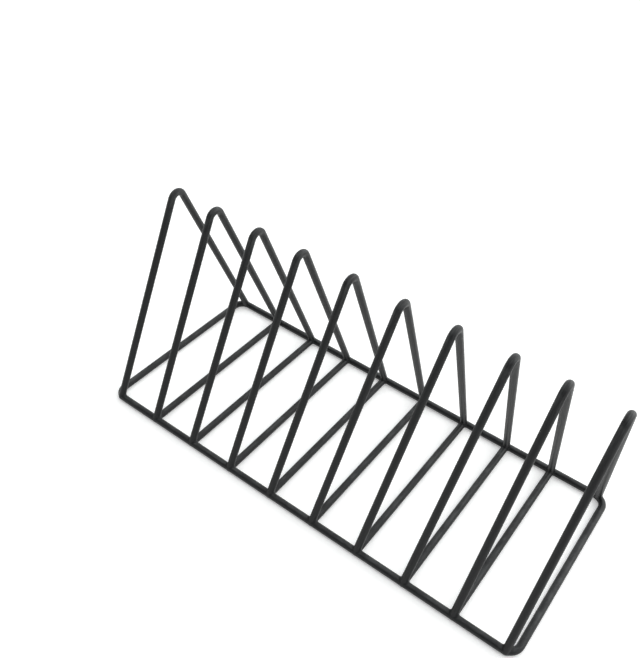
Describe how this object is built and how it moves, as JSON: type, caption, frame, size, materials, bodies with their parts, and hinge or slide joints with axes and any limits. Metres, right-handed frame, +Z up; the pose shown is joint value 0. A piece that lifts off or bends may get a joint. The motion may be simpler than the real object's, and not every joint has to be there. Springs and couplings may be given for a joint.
{
  "type": "record storage rack",
  "caption": "Black coated wire rack whose inverted-V dividers hold 7-inch records upright on two long rails.",
  "frame": {"origin": "on the table, under the middle of the rack", "axes": "+X along the row of dividers, +Y to the rear, +Z up"},
  "size_m": [0.2648, 0.1164, 0.116],
  "materials": {
    "coated_wire": "satin black plastic dip coating on round steel wire",
    "weld_coat": "satin black coating pooled over the weld beads"
  },
  "bodies": {
    "root": {"base_frame": "coated_wire", "divider_1": "coated_wire", "divider_2": "coated_wire", "divider_3": "coated_wire", "divider_4": "coated_wire", "divider_5": "coated_wire", "divider_6": "coated_wire", "divider_7": "coated_wire", "divider_8": "coated_wire", "divider_9": "coated_wire", "divider_10": "coated_wire", "cross_wire_1": "coated_wire", "cross_wire_2": "coated_wire", "cross_wire_3": "coated_wire", "cross_wire_4": "coated_wire", "cross_wire_5": "coated_wire", "cross_wire_6": "coated_wire", "cross_wire_7": "coated_wire", "cross_wire_8": "coated_wire", "front_welds": "weld_coat", "rear_welds": "weld_coat"}
  },
  "joints": []
}
